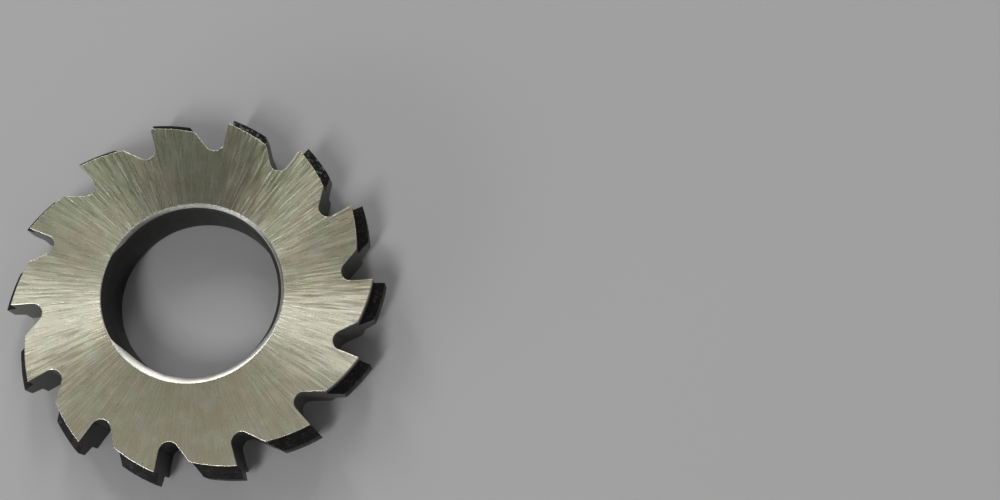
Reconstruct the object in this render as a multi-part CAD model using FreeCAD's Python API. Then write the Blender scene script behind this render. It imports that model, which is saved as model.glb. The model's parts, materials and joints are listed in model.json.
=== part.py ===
import FreeCAD, Part

# A milling cutter for an arbor: one disc of tool steel, ground flat on both side faces,
# with a plain bore and relieved teeth that carry a raised form along the middle of the rim.
#
# The bore axis is Z and the lower side face lies on Z = 0. Seen from above, every cutting
# edge looks counter-clockwise, so the rake faces are the counter-clockwise ends of the teeth.

import math
import os

from FreeCAD import Vector

# Blank, in millimetres
outside_diameter = 36.0
width = 6.0
bore_diameter = 16.0
bore_chamfer = 0.65

# Teeth, their sizes as shares of the pitch around the tips
tooth_count = 14
first_tooth_angle = 0.0
tip_pitch = math.pi * outside_diameter / tooth_count
relief_fall = 0.235 * tip_pitch
gullet_depth = 0.36 * tip_pitch
gullet_root_radius = 0.115 * tip_pitch
gullet_opening_angle = 48.0

# Raised form along the middle of the rim
form_height = 0.125 * tip_pitch
form_top_width = 2.1
flank_width = 0.35

# How far cutting shapes reach past the surfaces they cut, and parts of the blank into each other
reach = 1.0

tip_radius = outside_diameter / 2
shoulder_radius = tip_radius - form_height
root_radius = shoulder_radius - gullet_depth
bore_radius = bore_diameter / 2
pitch_angle = 360.0 / tooth_count


def polar(radius, degrees):
    """The point on Z = 0 at this radius and this angle from X."""
    angle = math.radians(degrees)
    return Vector(radius * math.cos(angle), radius * math.sin(angle), 0)


def face_of(points):
    """The flat face inside a closed outline with straight sides."""
    return Part.Face(Part.makePolygon(points + points[:1]))


def land_centre():
    """The centre of the arc that the land follows.

    The arc meets the spiral of a relieved land at the cutting edge, halfway through the
    pitch and one whole pitch back. The land of a tooth at angle 0 lies below the X axis.
    """
    edge = polar(tip_radius, 0)
    middle = polar(tip_radius - relief_fall / 2, -pitch_angle / 2)
    end = polar(tip_radius - relief_fall, -pitch_angle)
    return Part.Arc(edge, middle, end).toShape().Curve.Center


def rim_section():
    """The section of a tooth at its cutting edge, from inside the hub out to the raised form."""
    inner = root_radius - reach
    middle = width / 2
    half_top = form_top_width / 2
    half_foot = half_top + flank_width
    return face_of([
        Vector(inner, 0, 0),
        Vector(shoulder_radius, 0, 0),
        Vector(shoulder_radius, 0, middle - half_foot),
        Vector(tip_radius, 0, middle - half_top),
        Vector(tip_radius, 0, middle + half_top),
        Vector(shoulder_radius, 0, middle + half_foot),
        Vector(shoulder_radius, 0, width),
        Vector(inner, 0, width),
    ])


def relieved_tooth():
    """One tooth at angle 0, drawn back past its whole pitch, before its gullet is cut."""
    centre = land_centre()
    edge = polar(tip_radius, 0)
    end = polar(tip_radius - relief_fall, -pitch_angle)
    sweep = math.degrees((edge - centre).getAngle(end - centre))
    overlap = math.degrees(reach / tip_radius)
    return rim_section().revolve(centre, Vector(0, 0, 1), -(sweep + overlap))


def gullet():
    """The cut in front of the rake face at angle 0: a radial wall, a round root, a sloping wall."""
    outer = tip_radius + reach
    slope = math.radians(gullet_opening_angle)
    root_centre_radius = root_radius + gullet_root_radius
    root_centre = Vector(math.sqrt(root_centre_radius ** 2 - gullet_root_radius ** 2), gullet_root_radius, 0)
    wall_direction = Vector(math.cos(slope), math.sin(slope), 0)
    wall_normal = Vector(-math.sin(slope), math.cos(slope), 0)
    root_middle = (wall_normal + Vector(0, -1, 0)).normalize()

    rake_foot = Vector(root_centre.x, 0, 0)
    wall_foot = root_centre + wall_normal * gullet_root_radius
    rake_end = Vector(outer, 0, 0)
    wall_end = wall_foot + wall_direction * ((outer - wall_foot.x) / wall_direction.x)
    root = Part.Arc(rake_foot, root_centre + root_middle * gullet_root_radius, wall_foot)
    outline = Part.Wire([
        Part.LineSegment(rake_end, rake_foot).toShape(),
        root.toShape(),
        Part.LineSegment(wall_foot, wall_end).toShape(),
        Part.LineSegment(wall_end, rake_end).toShape(),
    ])
    section = Part.Face(outline)
    section.translate(Vector(0, 0, -reach))
    return section.extrude(Vector(0, 0, width + 2 * reach))


def bore():
    """The bore with a chamfer at each side face."""
    mouth = bore_radius + 2 * bore_chamfer
    return face_of([
        Vector(0, 0, -bore_chamfer),
        Vector(mouth, 0, -bore_chamfer),
        Vector(bore_radius, 0, bore_chamfer),
        Vector(bore_radius, 0, width - bore_chamfer),
        Vector(mouth, 0, width + bore_chamfer),
        Vector(0, 0, width + bore_chamfer),
    ]).revolve(Vector(0, 0, 0), Vector(0, 0, 1), 360)


def around(shape):
    """A copy of the shape for each tooth."""
    copies = []
    for index in range(tooth_count):
        copy = shape.copy()
        copy.rotate(Vector(0, 0, 0), Vector(0, 0, 1), first_tooth_angle + index * pitch_angle)
        copies.append(copy)
    return copies


def milling_cutter():
    hub = Part.makeCylinder(root_radius - reach / 2, width)
    blank = hub.multiFuse(around(relieved_tooth())).removeSplitter()
    return blank.cut([*around(gullet()), bore()]).removeSplitter()


os.makedirs("parts", exist_ok=True)
cutter = milling_cutter().Solids[0]
cutter.exportStep("parts/milling_cutter.step")
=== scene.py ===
# An arbor milling cutter lying on one side face: ground steel sides, a bright chamfer round
# the bore, and dark teeth, gullets and bore wall. The camera looks down on it.

import json
import math

import bpy
from mathutils import Matrix, Vector


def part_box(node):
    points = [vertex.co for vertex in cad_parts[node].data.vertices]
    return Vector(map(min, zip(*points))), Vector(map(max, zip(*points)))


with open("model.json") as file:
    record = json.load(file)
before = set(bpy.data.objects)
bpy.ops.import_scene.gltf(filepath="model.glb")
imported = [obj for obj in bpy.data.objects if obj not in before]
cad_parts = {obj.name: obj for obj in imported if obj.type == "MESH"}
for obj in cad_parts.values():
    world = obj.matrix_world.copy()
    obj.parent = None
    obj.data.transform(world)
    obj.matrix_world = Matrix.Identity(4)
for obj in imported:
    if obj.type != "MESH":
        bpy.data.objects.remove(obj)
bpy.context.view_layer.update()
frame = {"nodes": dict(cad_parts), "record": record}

MM = 0.001


def toward(degrees):
    """The unit vector outward from the bore axis at this angle from X."""
    turn = math.radians(degrees)
    return (math.cos(turn), math.sin(turn), 0.0)


# Sizes of the cutter, in millimetres
lowest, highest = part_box("milling_cutter")
width = (highest.z - lowest.z) / MM
half_width = width / 2
bore_radius = next(m for m in frame["record"]["mounts"] if m["name"] == "bore")["dims"]["r_mm"]
chamfer = 0.65
mouth_radius = bore_radius + chamfer
edge_break = 0.05
gullet_radius = 15.8
rubbed_depth = 1.5

# The painted shade at the foot of the chamfers, at the back and on the left, and how soft its edge and
# the outer edge of the chamfers are, in millimetres
painted_shade_width = 0.32
painted_shade_blur = 0.06
mouth_blur = 0.02

# Where the surface differs round the cutter
brown_direction = toward(280)
smooth_direction = toward(262)
# Painted highlight: the side faces are painted paler in the sectors round these two directions, where the
# highlights fall
painted_highlight_directions = [toward(183), toward(338)]
dull_direction = toward(103)
rubbed_direction = toward(346)
# Painted shade: the gullets are painted darker towards this direction
painted_shade_direction = toward(250)
chipped_direction = toward(60)

# Patterns: how many spots each has to a millimetre, how many grinding lines lie side by side
# within a radian, and how fast a line changes along its length
patch_scale = 0.16
stain_scale = 0.45
cloud_scale = 0.7
pit_scale = 4.5
grain_scale = 3.2
fleck_scale = 5.0
chip_scale = 3.0
fine_lines = 75.0
coarse_lines = 40.0
line_change = 0.3

# Roughness, with two values where it changes with the pattern
ground_roughness = (0.29, 0.26)
chamfer_roughness = 0.35
skin_roughness = (0.60, 0.38)
gullet_roughness = 0.45
floor_roughness = 0.9

# Sheen of the dark skin and the floor, and how far the grinding lines draw out a highlight
specular_level = 0.1
anisotropy = 0.75

# How far the grinding lines turn the highlight's direction each way
fine_skew = 1.2
coarse_skew = 0.3

# Relief: its unit in millimetres, its strength, and how many units each pattern stands up
relief_unit = 0.01
relief_strength = 0.6
fine_relief = 4.5
coarse_relief = 0.6
skin_relief = 6.0
gullet_relief = 3.0
chamfer_flattening = 0.55

# Camera: its tilt from straight down, its turn about the bore axis, and where it stands
# along its own right, up and backward axes from the middle of the cutter
camera_tilt = math.radians(14.69)
camera_turn = math.radians(-4.29)
camera_offset = Vector((28.94, 4.70, 130.3))
camera_lens = 48.8
sensor_width = 36.0
nearest_seen = 0.005

# Stage: half the side of the floor, and distance and height of every lamp, in metres
floor_half = 3.0
lamp_distance = 1.0
lamp_height = 0.4

# Colours, as light reflected
olive_steel = (0.48, 0.51, 0.345)
brown_steel = (0.51, 0.472, 0.335)
bright_steel = (0.66, 0.665, 0.56)
burr_steel = (0.70, 0.70, 0.66)
chamfer_steel = (0.33, 0.33, 0.31)
chamfer_dull = (0.08, 0.08, 0.073)
pit_dark = (0.10, 0.09, 0.07)
skin_dark = (0.005, 0.005, 0.005)
skin_brown = (0.028, 0.024, 0.019)
fleck_grey = (0.040, 0.040, 0.037)
chip_grey = (0.30, 0.30, 0.28)
rubbed_grey = (0.22, 0.21, 0.185)
gullet_dark = (0.018, 0.018, 0.017)
gullet_grey = (0.14, 0.14, 0.134)
bore_grey = (0.018, 0.018, 0.017)
floor_grey = (0.31, 0.31, 0.31)
horizon_grey = (0.65, 0.65, 0.65)
zenith_grey = (0.11, 0.11, 0.11)


def add(tree, kind, *inputs, **settings):
    """A new node, its first sockets set or linked in order. None leaves a socket alone."""
    node = tree.nodes.new(kind)
    for name, value in settings.items():
        setattr(node, name, value)
    for socket, value in zip(node.inputs, inputs):
        feed(tree, socket, value)
    return node


def feed(tree, socket, value):
    """Links a socket to an output, or sets its value."""
    if isinstance(value, bpy.types.NodeSocket):
        tree.links.new(value, socket)
    elif value is not None:
        socket.default_value = value


def maths(tree, operation, *values):
    """The number that an operation on numbers gives."""
    return add(tree, "ShaderNodeMath", *values, operation=operation).outputs[0]


def vectors(tree, operation, *values):
    """The vector that an operation on vectors gives."""
    return add(tree, "ShaderNodeVectorMath", *values, operation=operation).outputs["Vector"]


def dot(tree, first, second):
    """The dot product of two vectors."""
    return add(tree, "ShaderNodeVectorMath", first, second, operation="DOT_PRODUCT").outputs["Value"]


def scaled(tree, vector, factor):
    """A vector times a number."""
    node = add(tree, "ShaderNodeVectorMath", vector, operation="SCALE")
    feed(tree, node.inputs["Scale"], factor)
    return node.outputs["Vector"]


def ramp(tree, value, low, high, start=0.0, end=1.0):
    """Start below low, end above high, and a smooth step between them."""
    node = add(tree, "ShaderNodeMapRange", value, low, high, start, end, interpolation_type="SMOOTHSTEP")
    return node.outputs[0]


def noise(tree, vector, scale, detail=2.0, roughness=0.5):
    """Soft noise from 0 to 1, mostly near the middle."""
    node = add(tree, "ShaderNodeTexNoise", vector)
    node.inputs["Scale"].default_value = scale
    node.inputs["Detail"].default_value = detail
    node.inputs["Roughness"].default_value = roughness
    return node.outputs["Fac"]


def between(tree, data_type, share, first, second):
    """A value between two, the second where share is 1."""
    node = tree.nodes.new("ShaderNodeMix")
    node.data_type = data_type
    sockets = [s for s in node.inputs if s.enabled]
    for socket, value in zip(sockets, (share, first, second)):
        feed(tree, socket, value)
    return next(s for s in node.outputs if s.enabled)


def mix(tree, share, first, second):
    """A colour between two, the second where share is 1."""
    colours = [(*c, 1.0) if isinstance(c, tuple) else c for c in (first, second)]
    return between(tree, "RGBA", share, *colours)


def blend(tree, share, first, second):
    """A number between two, the second where share is 1."""
    return between(tree, "FLOAT", share, first, second)


def polar(tree, place):
    """Radius, unit vector outward, and height of a place round the bore axis."""
    flat = vectors(tree, "MULTIPLY", place, (1.0, 1.0, 0.0))
    radius = add(tree, "ShaderNodeVectorMath", flat, operation="LENGTH").outputs["Value"]
    outward = vectors(tree, "NORMALIZE", flat)
    height = add(tree, "ShaderNodeSeparateXYZ", place).outputs["Z"]
    return radius, outward, height


def streaks(tree, radius, outward, lines, detail):
    """Noise drawn out along the radius, with this many lines to a radian."""
    along = maths(tree, "MULTIPLY", radius, line_change)
    along = add(tree, "ShaderNodeCombineXYZ", 0.0, 0.0, along).outputs[0]
    spoke = vectors(tree, "ADD", scaled(tree, outward, lines), along)
    return noise(tree, spoke, 1.0, detail, 0.6)


def both_lines(tree, fine, fine_share, coarse, coarse_share):
    """The fine and the coarse grinding lines together, each in its share."""
    fine_part = maths(tree, "MULTIPLY", fine, fine_share)
    coarse_part = maths(tree, "MULTIPLY", coarse, coarse_share)
    return maths(tree, "ADD", fine_part, coarse_part)


def surfaces(tree, radius, outward, from_middle):
    """Shares that are 1 on the sides and chamfers, on the chamfers alone, and on the bore wall.

    The inner part of the chamfers at the back and on the left is painted shade: it counts as bore wall
    and takes the bore wall's dark colour.
    """
    side = ramp(tree, from_middle, half_width - 1.5 * edge_break, half_width - edge_break)
    inside_mouth = ramp(tree, radius, mouth_radius + mouth_blur, mouth_radius - mouth_blur)
    across = add(tree, "ShaderNodeSeparateXYZ", outward)
    # Painted shade: the inner part of the chamfers at the back and on the left counts as bore wall
    back_painted_shade = ramp(tree, across.outputs["Y"], -0.8, -0.35, 0.01, painted_shade_width)
    left_painted_shade = ramp(tree, across.outputs["X"], -0.76, -0.93, 0.0, painted_shade_width)
    painted_shade_edge = maths(tree, "ADD", maths(tree, "ADD", back_painted_shade, left_painted_shade), bore_radius)
    beyond_painted_shade = ramp(tree, radius, painted_shade_edge, maths(tree, "ADD", painted_shade_edge, painted_shade_blur))
    mouth = maths(tree, "MULTIPLY", inside_mouth, beyond_painted_shade)
    # wall is the bore wall together with the painted shade on the chamfers
    wall = maths(tree, "SUBTRACT", inside_mouth, mouth)
    return maths(tree, "MAXIMUM", side, mouth), mouth, wall


def gullets(tree, radius, outward, normal):
    """A share that is 1 on the roots and both walls of the gullets."""
    facing = maths(tree, "ABSOLUTE", dot(tree, normal, outward))
    upright = ramp(tree, maths(tree, "ABSOLUTE", dot(tree, normal, (0.0, 0.0, 1.0))), 0.5, 0.3)
    walls = maths(tree, "MULTIPLY", ramp(tree, facing, 0.92, 0.85), upright)
    return maths(tree, "MAXIMUM", walls, ramp(tree, radius, gullet_radius, gullet_radius - 0.3))


def ground_steel(tree, place, outward, fine, lined):
    """Ground steel: soft patches of tarnish, two sectors painted paler as highlight, lines that run
    outward, and a few pits.
    """
    patch = noise(tree, place, patch_scale, 3.0)
    stain = noise(tree, place, stain_scale, 3.0)
    cloud = noise(tree, place, cloud_scale, 4.0, 0.6)
    toward_brown = maths(tree, "MULTIPLY", dot(tree, outward, brown_direction), 0.35)
    tint = maths(tree, "ADD", patch, toward_brown)
    steel = mix(tree, ramp(tree, tint, 0.10, 0.35), olive_steel, brown_steel)
    steel = mix(tree, ramp(tree, stain, 0.50, 0.62, 0.0, 0.55), steel, olive_steel)
    steel = mix(tree, ramp(tree, cloud, 0.35, 0.75, 0.0, 0.45), steel, bright_steel)
    # Painted highlight: paler steel in the two sectors where the highlights fall
    for direction in painted_highlight_directions:
        painted_highlight = ramp(tree, dot(tree, outward, direction), 0.92, 1.0, 0.0, 0.45)
        steel = mix(tree, painted_highlight, steel, bright_steel)
    bright_lines = maths(tree, "MULTIPLY", ramp(tree, fine, 0.50, 0.75, 0.0, 0.20), lined)
    dark_lines = maths(tree, "MULTIPLY", ramp(tree, fine, 0.50, 0.25, 0.0, 0.12), lined)
    steel = mix(tree, bright_lines, steel, bright_steel)
    steel = mix(tree, dark_lines, steel, pit_dark)
    pits = ramp(tree, noise(tree, place, pit_scale, 1.0), 0.76, 0.80)
    return mix(tree, pits, steel, pit_dark)


def chamfer_colour(tree, outward):
    """The colour of the chamfers, duller at the back."""
    dull = ramp(tree, dot(tree, outward, dull_direction), 0.55, 0.98)
    return mix(tree, dull, chamfer_steel, chamfer_dull)


def tooth_skin(tree, place, outward, from_middle, grain):
    """Dark mottled skin, chipped on the teeth at the back and rubbed paler on those at the right.

    The skin is rubbed most beside the side faces.
    """
    skin = mix(tree, ramp(tree, grain, 0.52, 0.72), skin_dark, skin_brown)
    flecks = ramp(tree, noise(tree, place, fleck_scale), 0.62, 0.74)
    skin = mix(tree, flecks, skin, fleck_grey)
    chipped = ramp(tree, dot(tree, outward, chipped_direction), 0.88, 0.97)
    chips = ramp(tree, noise(tree, place, chip_scale), 0.56, 0.64, 0.0, 0.4)
    skin = mix(tree, maths(tree, "MULTIPLY", chips, chipped), skin, chip_grey)
    toward_rubbed = ramp(tree, dot(tree, outward, rubbed_direction), 0.80, 0.97)
    beside_face = ramp(tree, from_middle, half_width - rubbed_depth, half_width)
    return mix(tree, maths(tree, "MULTIPLY", toward_rubbed, beside_face), skin, rubbed_grey)


def gullet_skin(tree, outward, grain):
    """The greyer skin of the gullets, with painted shade darkening them at the lower left."""
    # Painted shade: gullets facing the lower left take the dark colour alone
    outside_painted_shade = ramp(tree, dot(tree, outward, painted_shade_direction), 0.97, 0.5)
    return mix(tree, maths(tree, "MULTIPLY", grain, outside_painted_shade), gullet_dark, gullet_grey)


def line_tangent(tree, outward, fine, coarse):
    """The direction round the bore axis, turned a little each way by the grinding lines."""
    tangent = tree.nodes.new("ShaderNodeTangent")
    tangent.direction_type = "RADIAL"
    tangent.axis = "Z"
    skew = both_lines(tree, fine, fine_skew, coarse, coarse_skew)
    skew = maths(tree, "SUBTRACT", skew, (fine_skew + coarse_skew) / 2)
    return vectors(tree, "ADD", tangent.outputs[0], scaled(tree, outward, skew))


def relief_normal(tree, normal, mouth, relief):
    """The normal with this relief on it.

    The chamfers are rolled over a little at both edges, so they catch light as a shallower cone does.
    """
    spread = blend(tree, mouth, 1.0, chamfer_flattening)
    shallow = add(tree, "ShaderNodeCombineXYZ", spread, spread, 1.0).outputs[0]
    rolled = vectors(tree, "NORMALIZE", vectors(tree, "MULTIPLY", normal, shallow))
    bump = add(tree, "ShaderNodeBump")
    bump.inputs["Strength"].default_value = relief_strength
    bump.inputs["Distance"].default_value = relief_unit * MM
    feed(tree, bump.inputs["Height"], relief)
    feed(tree, bump.inputs["Normal"], rolled)
    return bump.outputs[0]


def cutter_material():
    """Ground steel on the sides and chamfers, and dark skin everywhere else."""
    material = bpy.data.materials.new("cutter_steel")
    material.use_nodes = True
    tree = material.node_tree
    shader = tree.nodes["Principled BSDF"]

    place = scaled(tree, tree.nodes.new("ShaderNodeTexCoord").outputs["Object"], 1 / MM)
    normal = tree.nodes.new("ShaderNodeNewGeometry").outputs["Normal"]
    radius, outward, height = polar(tree, place)
    from_middle = maths(tree, "ABSOLUTE", maths(tree, "SUBTRACT", height, half_width))
    bright, mouth, wall = surfaces(tree, radius, outward, from_middle)
    edge = ramp(tree, from_middle, half_width - 0.1 * edge_break, half_width - 0.3 * edge_break)
    gullet = gullets(tree, radius, outward, normal)

    # patterns, and how clearly the grinding lines show
    fine = streaks(tree, radius, outward, fine_lines, 1.0)
    coarse = streaks(tree, radius, outward, coarse_lines, 2.0)
    lined = ramp(tree, dot(tree, outward, smooth_direction), 0.5, 0.9, 1.0, 0.3)
    grain = noise(tree, place, grain_scale, 4.0, 0.65)

    # colour
    ground = ground_steel(tree, place, outward, fine, lined)
    ground = mix(tree, edge, ground, burr_steel)
    ground = mix(tree, mouth, ground, chamfer_colour(tree, outward))
    skin = tooth_skin(tree, place, outward, from_middle, grain)
    skin = mix(tree, gullet, skin, gullet_skin(tree, outward, grain))
    # The bore wall and the painted shade on the chamfers take the bore wall's dark colour
    skin = mix(tree, wall, skin, bore_grey)
    feed(tree, shader.inputs["Base Color"], mix(tree, bright, skin, ground))
    feed(tree, shader.inputs["Metallic"], bright)

    # gloss
    ground_rough = ramp(tree, coarse, 0.3, 0.7, *ground_roughness)
    ground_rough = blend(tree, mouth, ground_rough, chamfer_roughness)
    skin_rough = ramp(tree, grain, 0.4, 0.7, *skin_roughness)
    skin_rough = blend(tree, gullet, skin_rough, gullet_roughness)
    feed(tree, shader.inputs["Roughness"], blend(tree, bright, skin_rough, ground_rough))
    shader.inputs["Specular IOR Level"].default_value = specular_level
    shader.inputs["Anisotropic"].default_value = anisotropy
    feed(tree, shader.inputs["Tangent"], line_tangent(tree, outward, fine, coarse))

    # relief
    ground_lines = both_lines(tree, fine, fine_relief, coarse, coarse_relief)
    ground_lines = maths(tree, "MULTIPLY", ground_lines, lined)
    skin_grain = maths(tree, "MULTIPLY", grain, blend(tree, gullet, skin_relief, gullet_relief))
    relief = blend(tree, bright, skin_grain, ground_lines)
    feed(tree, shader.inputs["Normal"], relief_normal(tree, normal, mouth, relief))
    return material


def dress_cutter():
    """Gives the CAD solid its material and breaks its edges.

    Its facets are first joined into flat faces, so that only real edges are broken.
    """
    cutter = frame["nodes"]["milling_cutter"]
    cutter.data.materials.clear()
    cutter.data.materials.append(cutter_material())
    weld = cutter.modifiers.new("weld", "WELD")
    weld.merge_threshold = 0.001 * MM
    flat = cutter.modifiers.new("flat", "DECIMATE")
    flat.decimate_type = "DISSOLVE"
    flat.angle_limit = math.radians(0.5)
    broken = cutter.modifiers.new("broken_edges", "BEVEL")
    broken.width = edge_break * MM
    broken.segments = 2
    broken.limit_method = "ANGLE"
    broken.angle_limit = math.radians(30)
    broken.harden_normals = True


def floor():
    """A plain pale floor under the cutter."""
    mesh = bpy.data.meshes.new("floor")
    corners = [(x * floor_half, y * floor_half, 0) for x, y in ((-1, -1), (1, -1), (1, 1), (-1, 1))]
    mesh.from_pydata(corners, [], [(0, 1, 2, 3)])
    plane = bpy.data.objects.new("floor", mesh)
    bpy.context.collection.objects.link(plane)
    material = bpy.data.materials.new("floor")
    material.use_nodes = True
    shader = material.node_tree.nodes["Principled BSDF"]
    shader.inputs["Base Color"].default_value = (*floor_grey, 1.0)
    shader.inputs["Roughness"].default_value = floor_roughness
    shader.inputs["Specular IOR Level"].default_value = specular_level
    mesh.materials.append(material)


def soft_light(name, azimuth, elevation, across, radiance):
    """A softbox aimed at the cutter. Its power follows from how bright its face looks."""
    data = bpy.data.lights.new(name, "AREA")
    data.shape = "RECTANGLE"
    data.size = across
    data.size_y = lamp_height
    data.energy = radiance * math.pi * across * lamp_height
    lamp = bpy.data.objects.new(name, data)
    bpy.context.collection.objects.link(lamp)
    turn = math.radians(azimuth)
    lift = math.radians(elevation)
    direction = Vector((math.cos(lift) * math.cos(turn), math.cos(lift) * math.sin(turn), math.sin(lift)))
    lamp.location = direction * lamp_distance
    lamp.rotation_euler = direction.to_track_quat("Z", "Y").to_euler()
    lamp.visible_camera = False


def lights():
    """A soft grey surround and eight softboxes.

    The grinding lines run outward, so each softbox brightens two opposite sectors of the side face.
    """
    world = bpy.data.worlds.new("studio")
    world.use_nodes = True
    tree = world.node_tree
    around = tree.nodes.new("ShaderNodeTexCoord").outputs["Generated"]
    height = add(tree, "ShaderNodeSeparateXYZ", around).outputs["Z"]
    grey = mix(tree, ramp(tree, height, 0.1, 0.5), horizon_grey, zenith_grey)
    feed(tree, tree.nodes["Background"].inputs["Color"], grey)
    bpy.context.scene.world = world
    soft_light("back_right", azimuth=82.0, elevation=35.0, across=0.2, radiance=11.2)
    soft_light("back_left", azimuth=120.0, elevation=35.0, across=0.2, radiance=13.5)
    soft_light("high_back", azimuth=82.0, elevation=50.0, across=0.2, radiance=3.3)
    soft_light("high_right", azimuth=45.0, elevation=55.0, across=0.4, radiance=0.5)
    soft_light("top", azimuth=180.0, elevation=75.0, across=0.4, radiance=0.55)
    soft_light("right", azimuth=320.0, elevation=60.0, across=0.4, radiance=1.35)
    soft_light("front_strip", azimuth=240.0, elevation=55.0, across=0.15, radiance=25.0)
    soft_light("low_front", azimuth=215.0, elevation=12.0, across=0.7, radiance=7.0)


def camera():
    """The camera, looking down on the cutter."""
    data = bpy.data.cameras.new("camera")
    data.sensor_width = sensor_width
    data.lens = camera_lens
    data.clip_start = nearest_seen
    eye = bpy.data.objects.new("camera", data)
    bpy.context.collection.objects.link(eye)
    middle = Matrix.Translation((0.0, 0.0, half_width * MM))
    turn = Matrix.Rotation(camera_turn, 4, "Z")
    tilt = Matrix.Rotation(camera_tilt, 4, "X")
    eye.matrix_world = turn @ middle @ tilt @ Matrix.Translation(camera_offset * MM)
    bpy.context.scene.camera = eye


dress_cutter()
floor()
lights()
camera()
bpy.context.scene.view_settings.view_transform = "Standard"
